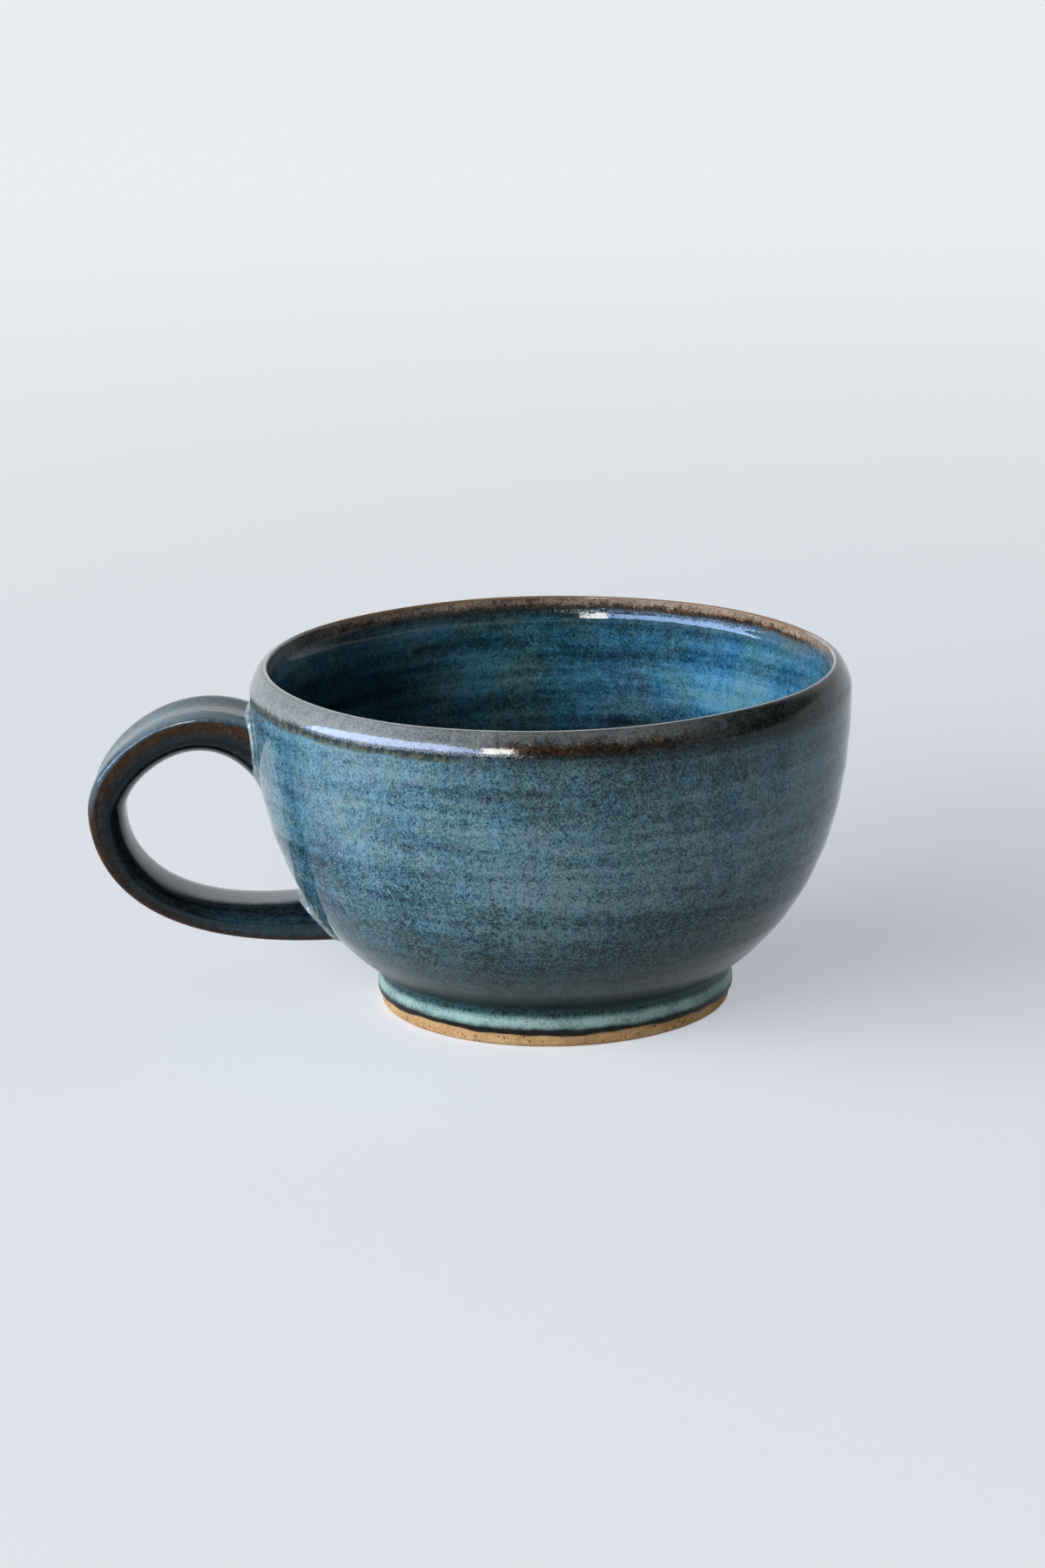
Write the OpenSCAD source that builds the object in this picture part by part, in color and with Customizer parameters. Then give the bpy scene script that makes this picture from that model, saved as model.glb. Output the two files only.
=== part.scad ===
// Wheel-thrown stoneware cappuccino cup with a pulled strap handle and a glaze coat.
// Origin: centre of the foot, on the table. Z is up and the handle points to -X.

/* [Bowl] */
// Height from the table to the top of the lip
cup_h = 66; // [60:0.5:80]
// Widest outside diameter, over the glaze
cup_d = 113.4; // [100:0.2:137]
// Outside diameter of the neck between the bowl and the foot, over the glaze
neck_d = 66.6; // [54:0.2:67]
// Thickness of the wall below the lip, glaze included
wall_t = 4.6; // [4:0.1:6]
// Thickness of the clay floor
floor_t = 5; // [3.5:0.1:8]
// Angle above level at which the side leaves the neck
side_angle = 33; // [24:1:42]
// How far the side holds that angle before it turns up
side_pull = 24; // [16:0.5:30]
// How far below the lip the side turns upright
upright_pull = 17; // [10:0.5:24]
// How far the bend of the inside lies in from the bend of the outside
bend_in = 14.3; // [12:0.1:20]
// How far the bend of the inside lies above the bend of the outside
bend_up = 5; // [3:0.1:9]

/* [Lip] */
// Height over which the outside of the lip rounds off
lip_h = 5.2; // [4:0.1:8]
// Height over which the inside of the lip rounds off
lip_in_h = 3.6; // [2.8:0.1:5]
// Distance of the lip's highest line from its outside
lip_set = 3.3; // [2.6:0.1:3.4]

/* [Foot] */
// Outside diameter of the bare clay foot
foot_d = 67.8; // [58:0.2:72]
// Height of the foot up to the neck
foot_h = 7.2; // [6:0.1:10]
// Width of the foot ring where it stands
foot_w = 7; // [5:0.1:12]
// Height of the bare clay below the glaze line
bare_h = 2.5; // [1.5:0.1:4]
// Chamfer on the edges of the foot ring
foot_edge = 0.6; // [0.3:0.1:1.2]

/* [Handle] */
// Height of the strap's middle line at its start inside the wall
upper_z = 46; // [42:0.2:50]
// Height of the strap's middle line at its end inside the wall
lower_z = 15.6; // [14:0.2:22]
// How far the strap's middle line stands out past the bowl
reach = 28.7; // [24:0.1:40]
// Height of the strap's outermost point
outer_z = 38.8; // [34:0.2:44]
// Angle above level at which the strap leaves the wall
rise_angle = 51; // [35:1:60]
// How far the strap holds that angle
rise_pull = 25.5; // [18:0.5:30]
// How far above its outermost point the strap turns down
crown_pull = 10.3; // [6:0.1:14]
// How far below its outermost point the strap turns in
fall_pull = 9.2; // [4:0.2:14]
// How far from its lower end the strap lies level
tail_pull = 43.8; // [30:0.2:50]
// How much the strap climbs over that stretch
tail_rise = 3.6; // [0:0.1:6]
// Width of the strap, over the glaze
strap_w = 16.8; // [12:0.2:22]
// Thickness of the strap at its crown, over the glaze
crown_t = 8.9; // [6.5:0.1:11]
// Thickness of the strap towards its lower end, over the glaze
tail_t = 5.1; // [4.2:0.1:8]
// Extra thickness where the strap's upper end spreads down the wall
root_spread = 2.7; // [0:0.1:4]
// Extra thickness where the strap's lower end spreads on the wall
tail_spread = 4.2; // [0:0.1:6]
// Depth of the thumb channel along the strap's outer face
channel = 0.7; // [0:0.05:1]

/* [Glaze] */
// Thickness of the glaze coat
glaze_t = 0.6; // [0.4:0.05:0.8]
// Size of the pooled bead round the strap's upper end
upper_bead = 1.5; // [1:0.1:2]
// Size of the pooled bead round the strap's lower end
lower_bead = 2.3; // [1:0.1:2.8]

/* [Hidden] */
$fn = 240;

clay = "#c39a6b";
slip = "#8fb3bd";
blue = "#3f6f8a";
teal = "#2f6482";
navy = "#2b3440";

// Curve steps of the foot, the side, each half of the lip and the inside
foot_steps = 6;
side_steps = 20;
lip_steps = 6;
inside_steps = 18;

rim_r = cup_d / 2;
neck_r = neck_d / 2;
foot_r = foot_d / 2;
lip_r = rim_r - lip_set;
mouth_r = rim_r - wall_t;
lip_z = cup_h - lip_h;
mouth_z = cup_h - lip_in_h;
floor_z = foot_h + floor_t + glaze_t;
// The lip keeps its round shape when its height changes
lip_round = 0.6;
// How far the glaze band on the foot rises straight, and how steeply it enters the neck
foot_rise = (foot_h - bare_h) / 2;
neck_rise = (foot_h - bare_h) / 4;

function curve(a, b, c, d, t) =
    a * pow(1 - t, 3) + 3 * b * t * pow(1 - t, 2) + 3 * c * t * t * (1 - t) + d * pow(t, 3);
function line(a, b, c, d, steps) = [for (i = [1 : steps]) curve(a, b, c, d, i / steps)];
function span(list, first, last) = [for (i = [first : last]) list[i]];
function reversed(list) = [for (i = [len(list) - 1 : -1 : 0]) list[i]];
function polar(length, angle) = length * [cos(angle), sin(angle)];
function signed_pow(v, p) = sign(v) * pow(abs(v), p);
function left_of(v) = [-v.y, v.x] / norm(v);

// The glaze surface in half section: up the outside, over the lip and down the inside to the axis
glaze_edge = [foot_r + glaze_t, bare_h];
neck = [neck_r, foot_h];
rim = [rim_r, lip_z];
lip_top = [lip_r, cup_h];
mouth = [mouth_r, mouth_z];
side_bend = neck + polar(side_pull, side_angle);
floor_mid = [0, floor_z];
foot_line = line(glaze_edge, glaze_edge + [0, foot_rise], neck - [0, neck_rise], neck, foot_steps);
side_line = line(neck, side_bend, rim - [0, upright_pull], rim, side_steps);
lip_out_line = line(rim, rim + [0, lip_round * lip_h], lip_top + [lip_round * lip_set, 0], lip_top, lip_steps);
lip_in_line = line(
    lip_top,
    lip_top - [lip_round * (lip_r - mouth_r), 0],
    mouth + [0, lip_round * lip_in_h],
    mouth,
    lip_steps
);
inside_line = line(
    mouth,
    [mouth_r, side_bend.y + bend_up],
    [side_bend.x - bend_in, floor_z],
    floor_mid,
    inside_steps
);
surface = concat([glaze_edge], foot_line, side_line, lip_out_line, lip_in_line, inside_line);
last = len(surface) - 1;
lip_at = foot_steps + side_steps + lip_steps;

// The clay lies one glaze thickness under that surface. The point past the axis keeps the floor level there.
mirrored = concat(surface, [[-surface[last - 1].x, surface[last - 1].y]]);
clay_line = [
    for (i = [0 : last])
        i == 0 ? [foot_r, bare_h] : surface[i] + glaze_t * left_of(mirrored[i + 1] - mirrored[i - 1])
];
seat_z = clay_line[foot_steps].y;

// Outside radius of the glazed bowl at a height
side_table = [for (p = span(surface, foot_steps, lip_at - 1)) [p.y, p.x]];
function side_r(z) = lookup(z, side_table);

// Strap: how deep its ends run into the wall before they are cut off, and its section
root_bite = 7.5;
strap_sides = 24;
strap_rings = 40;
bead_steps = 4;
bead_tries = 18;
// Share of the strap's length taken by each spread end and by each bead
spread_share = 0.26;
bead_share = 0.2;
// Shares of the thickness outside and inside the middle line
outer_part = 0.4;
inner_part = 1 - outer_part;
// Squareness of the flat outer face and of the round inner face
outer_power = 3;
inner_power = 2.2;
// Share of the width taken by the thumb channel
channel_share = 0.75;
// Step for finding a direction along the strap
tiny = 0.001;

start = [-side_r(upper_z) + root_bite, upper_z];
outermost = [-rim_r - reach, outer_z];
finish = [-side_r(lower_z) + root_bite, lower_z];

function strap_mid(u) =
    u < 0.5
        ? curve(
            start,
            start + polar(rise_pull, 180 - rise_angle),
            outermost + [0, crown_pull],
            outermost,
            2 * u
        )
        : curve(
            outermost,
            outermost - [0, fall_pull],
            finish - [tail_pull, tail_rise],
            finish,
            2 * u - 1
        );
function strap_out(u) = -left_of(strap_mid(u + tiny) - strap_mid(u - tiny));
function spread(u) = pow(max(0, 1 - u / spread_share), 2);
function strap_t(u) = tail_t + (crown_t - tail_t) * (1 + cos(180 * u)) / 2;
function inner_depth(u) = inner_part * strap_t(u) + root_spread * spread(u) + tail_spread * spread(1 - u);
function channel_dip(share) = channel * pow(cos(90 * min(1, abs(share) / channel_share)), 2);

// Point on the strap at share u of its length and angle a round it, grown outwards by g
function strap_point(u, a, g) =
    let (
        outside = sin(a) > 0,
        power = 2 / (outside ? outer_power : inner_power),
        y_share = signed_pow(cos(a), power),
        h_share = signed_pow(sin(a), power),
        depth = outside ? outer_part * strap_t(u) : inner_depth(u),
        h = (depth + g) * h_share - (outside ? channel_dip(y_share) : 0),
        p = strap_mid(u) + h * strap_out(u)
    )
    [p.x, (strap_w / 2 + g) * y_share, p.y];
function strap_ring(u, g) = [for (j = [0 : strap_sides - 1]) strap_point(u, 360 * j / strap_sides, g)];

// Distance of a point from the glazed side of the bowl, measured level
function wall_gap(p) = norm([p.x, p.y]) - side_r(p.z);
// Share of the strap's length at a share s from its upper or its lower end
function end_share(upper, s) = upper ? s : 1 - s;
// Share s at which the strap, grown by g, comes that gap off the wall, found by halving
function gap_share(upper, a, g, gap, low, high, tries) =
    let (half = (low + high) / 2)
    tries == 0
        ? half
        : wall_gap(strap_point(end_share(upper, half), a, g)) > gap
            ? gap_share(upper, a, g, gap, low, half, tries - 1)
            : gap_share(upper, a, g, gap, half, high, tries - 1);
// Loop round the strap's end that stands g off the strap and a gap off the wall
function bead_loop(upper, g, gap) = [
    for (j = [0 : strap_sides - 1])
        let (a = 360 * j / strap_sides)
        strap_point(end_share(upper, gap_share(upper, a, g, gap, 0, bead_share, bead_tries)), a, g)
];
// Section of a bead: the corner of strap and wall, then a hollow arc from the wall to the strap
function bead_section(size) = concat(
    [[0, 0]],
    [for (i = [0 : bead_steps]) size * [1 - sin(90 * i / bead_steps), 1 - cos(90 * i / bead_steps)]]
);

function joined(rings) = [for (r = rings) each r];
// Two triangles between neighbouring points of two loops that start at points p and q
function band(p, q, n) = [
    for (j = [0 : n - 1])
        let (k = (j + 1) % n)
        each [[p + j, p + k, q + k], [p + j, q + k, q + j]]
];

module tube(rings) {
    n = len(rings[0]);
    ends = len(rings) - 1;
    polyhedron(
        points = joined(rings),
        faces = concat(
            [[for (j = [n - 1 : -1 : 0]) j]],
            [for (i = [0 : ends - 1]) each band(i * n, (i + 1) * n, n)],
            [[for (j = [0 : n - 1]) ends * n + j]]
        )
    );
}

module sleeve(outer, inner) {
    n = len(outer[0]);
    ends = len(outer) - 1;
    m = len(outer) * n;
    polyhedron(
        points = concat(joined(outer), joined(inner)),
        faces = concat(
            band(m, 0, n),
            [for (i = [0 : ends - 1]) each band(i * n, (i + 1) * n, n)],
            [for (i = [0 : ends - 1]) each band(m + (i + 1) * n, m + i * n, n)],
            band(ends * n, m + ends * n, n)
        )
    );
}

function strap_loops(g) = [for (i = [0 : strap_rings]) strap_ring(i / strap_rings, g)];

// Everything within the outside of the bowl and the foot
module filled(outline) {
    rotate_extrude() polygon(concat(span(outline, 0, lip_at), [[0, cup_h], [0, bare_h]]));
}

module coat(first, end) {
    rotate_extrude() polygon(concat(span(surface, first, end), reversed(span(clay_line, first, end))));
}

// Closed ring of loops, each joined to the next and the last to the first
module closed_ring(loops) {
    n = len(loops[0]);
    count = len(loops);
    polyhedron(
        points = joined(loops),
        faces = [for (i = [0 : count - 1]) each band(i * n, (i + 1) % count * n, n)]
    );
}

module fillet_bead(upper, size) {
    section = upper ? bead_section(size) : reversed(bead_section(size));
    closed_ring([for (p = section) bead_loop(upper, p.x, p.y)]);
}

module bowl() {
    color(clay) rotate_extrude() polygon(concat(span(clay_line, foot_steps, last), [[0, seat_z]]));
}

module foot_ring() {
    inner_r = foot_r - foot_w;
    color(clay) rotate_extrude() polygon(concat(
        span(clay_line, 0, foot_steps),
        [
            [inner_r, seat_z],
            [inner_r, foot_edge],
            [inner_r + foot_edge, 0],
            [foot_r - foot_edge, 0],
            [foot_r, foot_edge]
        ]
    ));
}

module handle() {
    color(clay) difference() {
        tube(strap_loops(-glaze_t));
        filled(clay_line);
    }
}

module upper_fillet() {
    color(slip) fillet_bead(true, upper_bead);
}

module lower_fillet() {
    color(slip) fillet_bead(false, lower_bead);
}

module outer_glaze() {
    color(blue) difference() {
        coat(0, lip_at);
        tube(strap_loops(-glaze_t));
    }
}

module liner_glaze() {
    color(teal) coat(lip_at, last);
}

module handle_glaze() {
    color(navy) difference() {
        sleeve(strap_loops(0), strap_loops(-glaze_t));
        filled(surface);
    }
}

bowl();
foot_ring();
handle();
upper_fillet();
lower_fillet();
outer_glaze();
liner_glaze();
handle_glaze();
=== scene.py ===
import math

import bmesh
import bpy
import numpy as np
from mathutils import Matrix, Vector


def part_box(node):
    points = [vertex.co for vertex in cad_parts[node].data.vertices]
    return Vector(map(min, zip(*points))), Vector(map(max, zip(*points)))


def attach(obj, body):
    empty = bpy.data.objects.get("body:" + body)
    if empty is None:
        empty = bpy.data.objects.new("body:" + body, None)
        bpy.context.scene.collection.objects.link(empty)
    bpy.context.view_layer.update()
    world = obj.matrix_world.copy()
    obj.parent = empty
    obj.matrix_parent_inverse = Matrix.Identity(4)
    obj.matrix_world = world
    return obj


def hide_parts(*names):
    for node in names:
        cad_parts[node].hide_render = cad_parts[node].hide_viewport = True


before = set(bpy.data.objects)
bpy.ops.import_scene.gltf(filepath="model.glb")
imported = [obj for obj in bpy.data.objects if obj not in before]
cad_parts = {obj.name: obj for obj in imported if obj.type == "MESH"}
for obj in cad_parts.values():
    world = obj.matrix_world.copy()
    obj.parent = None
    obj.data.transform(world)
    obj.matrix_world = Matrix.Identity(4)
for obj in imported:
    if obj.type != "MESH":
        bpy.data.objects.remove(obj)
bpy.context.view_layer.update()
mm = 0.001
print("frame loaded:", ", ".join(sorted(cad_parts)))


# Camera: a long lens a little above the cup, tipped by about a degree
view = {
    "place": (0, -798.9, 260.8), "aim": (-5.65, 0, 41.6), "roll": -1.03,
    "lens": 100, "sensor": 36, "clip": 0.01,
}


def setCamera():
    lens = bpy.data.cameras.new("camera")
    lens.lens = view["lens"]
    lens.sensor_width = view["sensor"]
    lens.clip_start = view["clip"]
    camera = bpy.data.objects.new("camera", lens)
    bpy.context.scene.collection.objects.link(camera)
    place, aim = Vector(view["place"]) * mm, Vector(view["aim"]) * mm
    turn = (aim - place).to_track_quat("-Z", "Y").to_matrix()
    turn = turn @ Matrix.Rotation(math.radians(view["roll"]), 3, "Z")
    camera.matrix_world = Matrix.Translation(place) @ turn.to_4x4()
    bpy.context.scene.camera = camera
    print("camera set")


setCamera()


# Shader maths: a wire is one node's output, and arithmetic on wires adds Math nodes
class Wire:
    def __init__(self, finish, socket):
        self.finish, self.socket = finish, socket

    def __add__(self, other):
        return self.finish.math("ADD", self, other)

    def __sub__(self, other):
        return self.finish.math("SUBTRACT", self, other)

    def __rsub__(self, other):
        return self.finish.math("SUBTRACT", other, self)

    def __mul__(self, other):
        return self.finish.math("MULTIPLY", self, other)

    def __truediv__(self, other):
        return self.finish.math("DIVIDE", self, other)

    def __rtruediv__(self, other):
        return self.finish.math("DIVIDE", other, self)

    __radd__ = __add__
    __rmul__ = __mul__


class Finish:
    def __init__(self, tree):
        self.tree = tree

    def add(self, kind, settings=None, sockets=None, output=0):
        node = self.tree.nodes.new(kind)
        for key, value in (settings or {}).items():
            if key == "stops":
                self.setStops(node.color_ramp.elements, value)
            else:
                setattr(node, key, value)
        for key, value in (sockets or {}).items():
            self.feed(node.inputs[key], value)
        return Wire(self, node.outputs[output])

    def setStops(self, stops, values):
        stops.remove(stops[1])
        for index, (place, colour) in enumerate(values):
            stop = stops[0] if index == 0 else stops.new(place)
            stop.position = place
            stop.color = (*colour, 1)

    def feed(self, socket, value):
        if isinstance(value, Wire):
            self.tree.links.new(value.socket, socket)
        elif socket.type == "RGBA":
            socket.default_value = (*value, 1)
        else:
            socket.default_value = value

    def math(self, operation, *values):
        return self.add("ShaderNodeMath", {"operation": operation}, dict(enumerate(values)))

    def blend(self, share, first, second):
        return self.add("ShaderNodeMix", {"data_type": "RGBA"}, {0: share, 6: first, 7: second}, 2)

    def multiply(self, first, second):
        settings = {"data_type": "RGBA", "blend_type": "MULTIPLY"}
        return self.add("ShaderNodeMix", settings, {0: 1.0, 6: first, 7: second}, 2)

    def ease(self, value, low, high):
        sockets = {"Value": value, "From Min": low, "From Max": high}
        return self.add("ShaderNodeMapRange", {"interpolation_type": "SMOOTHSTEP"}, sockets)

    def band(self, value, middle, width):
        # 1 on the middle, falling to 0 at the width on either side
        return 1 - self.ease(self.math("ABSOLUTE", value - middle), 0, width)

    def within(self, value, low, high, soft):
        # 1 between low and high, falling to 0 outside over twice the soft width
        inside = self.ease(value, low - soft, low + soft)
        return inside * (1 - self.ease(value, high - soft, high + soft))

    def noise(self, place, size, detail=2, rough=0.5):
        sockets = {"Vector": place, "Scale": 1 / size, "Detail": detail, "Roughness": rough}
        return self.add("ShaderNodeTexNoise", {}, sockets)

    def join(self, x, y, z):
        return self.add("ShaderNodeCombineXYZ", {}, {"X": x, "Y": y, "Z": z})

    def ramp(self, value, stops):
        return self.add("ShaderNodeValToRGB", {"stops": stops}, {"Fac": value})

    def given(self, name):
        return self.add("ShaderNodeAttribute", {"attribute_name": name}, {}, 2)

    def place(self):
        # object coordinates in millimetres, and their three parts
        here = self.add("ShaderNodeTexCoord", {}, {}, 3)
        here = self.add("ShaderNodeVectorMath", {"operation": "SCALE"}, {0: here, "Scale": 1 / mm})
        return here, [self.add("ShaderNodeSeparateXYZ", {}, {0: here}, i) for i in range(3)]


def makeFinish(name, paint, gloss):
    # paint gives what changes over the surface, gloss what is the same all over
    material = bpy.data.materials.new(name)
    material.use_nodes = True
    finish = Finish(material.node_tree)
    skin = finish.tree.nodes["Principled BSDF"]
    for key, value in {**gloss, **paint(finish)}.items():
        if key == "height":
            sockets = {"Height": value, "Distance": mm, "Strength": 1}
            finish.feed(skin.inputs["Normal"], finish.add("ShaderNodeBump", {}, sockets))
        else:
            finish.feed(skin.inputs[key], value)
    return material


# Cup: half section in millimetres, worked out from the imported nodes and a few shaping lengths
lowest, highest = (np.array(corner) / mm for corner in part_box("outer_glaze"))
footTrim = 0.5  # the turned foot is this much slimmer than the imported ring
cup = {
    "rim": highest[1], "height": highest[2], "bare": lowest[2],
    "foot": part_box("foot_ring")[1].x / mm - footTrim, "glaze": 0.6,
    "neck": 33.3, "neckHeight": 7.2, "sideAngle": 33, "sidePull": 24, "uprightPull": 17,
    "wall": 4.6, "floor": 12.8, "bendIn": 14.3, "bendUp": 5, "lipHeight": 5.2, "lipInside": 3.6,
}
# Lip: rounded on the outside, with a small turn at the crest and a slope inside
lipShape = {
    "start": 60.6, "end": 60.4, "wallPull": 0.8, "crest": (53.5, 66), "crestPull": 1.5, "turn": 0.5,
    "outMiddle": (56.28, 62.7), "outTilt": 22, "outPull": 1.05, "outRise": 1.1,
    "inMiddle": (52.62, 62.6), "inTilt": 21, "inPull": 1, "inRise": 1.6,
}


def onBend(a, b, c, d, t):
    return a * (1 - t) ** 3 + 3 * b * t * (1 - t) ** 2 + 3 * c * t ** 2 * (1 - t) + d * t ** 3


def bend(a, b, c, d, count):
    a, b, c, d = (np.array(p, float) for p in (a, b, c, d))
    return onBend(a, b, c, d, np.linspace(0, 1, count)[:, None])


def smooth(x, low, high):
    t = np.clip((x - low) / (high - low), 0, 1)
    return t * t * (3 - 2 * t)


def hump(x, middle, width):
    return np.exp(-(((x - middle) / width) ** 2))


def unit(v):
    return v / np.linalg.norm(v, axis=-1)[..., None]


neck = np.array([cup["neck"], cup["neckHeight"]])
rimPoint = np.array([cup["rim"], cup["height"] - cup["lipHeight"]])
mouth = np.array([cup["rim"] - cup["wall"], cup["height"] - cup["lipInside"]])
slope = math.radians(cup["sideAngle"])
sideBend = neck + cup["sidePull"] * np.array([math.cos(slope), math.sin(slope)])
glazeEdge = np.array([cup["foot"] + cup["glaze"], cup["bare"]])
bandRise = neck[1] - glazeEdge[1]
bandLine = bend(glazeEdge, glazeEdge + [0, bandRise / 2], neck - [0, bandRise / 4], neck, 40)
sideLine = bend(neck, sideBend, rimPoint - [0, cup["uprightPull"]], rimPoint, 110)
wallLine = sideLine[sideLine[:, 1] <= lipShape["start"]]
insideLine = bend(
    mouth,
    [mouth[0], sideBend[1] + cup["bendUp"]],
    [sideBend[0] - cup["bendIn"], cup["floor"]],
    [0, cup["floor"]],
    110,
)
insideLine = insideLine[insideLine[:, 1] <= lipShape["end"]]
crest, outMiddle, inMiddle = (np.array(lipShape[key]) for key in ("crest", "outMiddle", "inMiddle"))
outTilt, inTilt = math.radians(lipShape["outTilt"]), math.radians(lipShape["inTilt"])
outRun = np.array([-math.sin(outTilt), math.cos(outTilt)])
inRun = np.array([-math.sin(inTilt), -math.cos(inTilt)])
upright, overCrest = np.array([0, lipShape["wallPull"]]), crest + [lipShape["crestPull"], 0]
lipOutLine = np.vstack([
    bend(wallLine[-1], wallLine[-1] + upright, outMiddle - lipShape["outPull"] * outRun, outMiddle, 14)[1:],
    bend(outMiddle, outMiddle + lipShape["outRise"] * outRun, overCrest, crest, 22)[1:],
])
lipInLine = np.vstack([
    bend(crest, crest - [lipShape["turn"], 0], inMiddle - lipShape["inRise"] * inRun, inMiddle, 16),
    bend(inMiddle, inMiddle + lipShape["inPull"] * inRun, insideLine[0] + upright, insideLine[0], 12)[1:-1],
])


def sideRadius(z):
    return np.interp(z, sideLine[:, 1], sideLine[:, 0])


def sunk(line, depth):
    # the line moved under its surface, into the clay on the left of its run
    along = np.gradient(line, axis=0)
    return line + depth * unit(np.c_[-along[:, 1], along[:, 0]])


def thinned(line, step):
    # every few points of the line, with its last point once
    return line[sorted({*range(0, len(line), step), len(line) - 1})]


# Hand of the thrower: soft out-of-round, finger rings climbing as a spiral, an uneven lip
hand = {
    "round": [(2, 0.7, 0.2), (3, 2.1, 0.1)], "lowRound": 0.2, "high": (45, 66),
    "lipSway": 0.18, "lipWaves": [(2, 1.1, 1), (3, 2.6, 0.5), (7, 0, 0.25)],
    "ring": 0.045, "ringPitch": 7.4, "ringSway": 0.6, "fine": 0.018, "finePitch": 3.1, "fineStart": 1.3,
    "ringsFrom": (8, 14), "ringsTo": (54, 59),
    "bandSwell": 0.12, "swellHeight": (4.4, 1.3), "edgeSway": 0.16, "edgeHeight": (2.9, 4.2),
    "edgeWaves": [(5, 0.4, 1), (11, 2, 0.7), (23, 1, 0.5), (41, 0, 0.3)],
    "insideRing": 0.03, "insidePitch": 5.6, "insideSway": 0.5, "insideFrom": (14, 22), "insideTo": (56, 61),
    "floorSpiral": 0.2, "spiralTurns": 1.15, "spiralHeight": (13, 16), "spiralReach": (1, 8),
}


def waves(turn, parts, wave=np.sin):
    # waves added up round the cup: how many, where they start and their share
    return sum(share * wave(count * turn + start) for count, start, share in parts)


def lipSway(turn):
    return hand["lipSway"] * waves(turn, hand["lipWaves"], np.cos)


def offRound(turn):
    return waves(turn, hand["round"], np.cos)


def thrownOutside(r, z, turn):
    climb = 2 * math.pi * z
    rings = hand["ring"] * np.sin(climb / hand["ringPitch"] + turn + hand["ringSway"] * np.sin(2 * turn))
    rings += hand["fine"] * np.sin(climb / hand["finePitch"] - turn + hand["fineStart"])
    body = smooth(z, *hand["ringsFrom"]) * (1 - smooth(z, *hand["ringsTo"]))
    high = smooth(z, *hand["high"])
    swell = hand["bandSwell"] * hump(z, *hand["swellHeight"])
    edge = hand["edgeSway"] * (1 - smooth(z, *hand["edgeHeight"])) * waves(turn, hand["edgeWaves"])
    share = hand["lowRound"] + (1 - hand["lowRound"]) * high
    return r + share * offRound(turn) + body * rings + swell, z + high * lipSway(turn) + edge


def thrownInside(r, z, turn):
    climb = 2 * math.pi * z / hand["insidePitch"] - turn + hand["insideSway"] * np.sin(2 * turn)
    rings = hand["insideRing"] * np.sin(climb)
    body = smooth(z, *hand["insideFrom"]) * (1 - smooth(z, *hand["insideTo"]))
    high = smooth(z, *hand["high"])
    spiral = hand["floorSpiral"] * np.sin(r * hand["spiralTurns"] - turn)
    spiral = spiral * (1 - smooth(z, *hand["spiralHeight"])) * smooth(r, *hand["spiralReach"])
    return r + high * offRound(turn) + body * rings, z + high * lipSway(turn) + spiral


def still(r, z, turn):
    return r + 0 * turn, z + 0 * turn


def makeMesh(name, points, faces, attributes, sharp=50):
    mesh = bpy.data.meshes.new(name)
    mesh.from_pydata((np.asarray(points) * mm).tolist(), [], faces)
    for key, values in attributes.items():
        mesh.attributes.new(key, "FLOAT", "POINT").data.foreach_set("value", np.asarray(values, np.float32))
    shape = bmesh.new()
    shape.from_mesh(mesh)
    bmesh.ops.recalc_face_normals(shape, faces=shape.faces)
    if shape.calc_volume(signed=True) < 0:
        bmesh.ops.reverse_faces(shape, faces=shape.faces)
    shape.to_mesh(mesh)
    shape.free()
    mesh.shade_smooth()
    mesh.set_sharp_from_angle(angle=math.radians(sharp))
    piece = bpy.data.objects.new(name, mesh)
    bpy.context.scene.collection.objects.link(piece)
    return piece


def lathe(name, runs, steps=300):
    # runs are pieces of a closed half section, each with the rule that shapes it on its way round
    turn = np.linspace(0, 2 * math.pi, steps, endpoint=False)
    points, rows, section = [], [], []
    for line, rule in runs:
        for r, z in line:
            onAxis = r < 1e-6
            around = turn[:1] if onAxis else turn
            rr, zz = rule(np.full(len(around), r), np.full(len(around), z), around)
            rr = rr * (not onAxis)
            rows.append(list(range(len(points), len(points) + len(around))))
            points.extend(np.c_[rr * np.cos(around), rr * np.sin(around), zz].tolist())
            section.extend([(r, z)] * len(around))
    faces = []
    for low, high in zip(rows, rows[1:] + rows[:1]):
        for i in range(steps if len(low) + len(high) > 2 else 0):
            k = (i + 1) % steps
            if len(low) == 1:
                faces.append((low[0], high[k], high[i]))
            elif len(high) == 1:
                faces.append((low[i], low[k], high[0]))
            else:
                faces.append((low[i], low[k], high[k], high[i]))
    reach, level = np.array(section).T
    return makeMesh(name, points, faces, {"reach": reach, "level": level})


def seat(piece, node, material):
    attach(piece, "root")
    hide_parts(node)
    piece.data.materials.append(material)


# Speckled glaze: grains on clouds and patches of other hues, with throwing rings and runs showing through
speckle = {
    "cloudFlat": 3, "ringWander": 1.1, "runLength": 45, "lowHeight": (12, 48), "speckSoft": 0.1,
    "tealFrom": (0.44, 0.6), "tealTurn": (-45, 5), "greyFrom": (0.48, 0.63), "greyPatch": 1.3,
}
# Shine of the glazes: shallow dimples, and a step down where the thick glaze ends at the lip
shine = {
    "dimple": 2.4, "dimpleDepth": 0.025, "grainDepth": 0.004,
    "lipStep": 0.04, "stepFrom": -0.9, "stepTo": 0.1,
    "rough": 0.03, "roughPull": 0.07, "skin": {"IOR": 1.5, "Specular IOR Level": 0.2},
}


def uneven(finish, part, count, length, detail=2, rough=0.5):
    # noise about 0 on the wall: finer round it with a higher count, drawn out upward with a longer length
    place = finish.join(part["dx"] * count, part["dy"] * count, part["z"] / length)
    return finish.noise(place, 1, detail, rough) - 0.5


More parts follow.
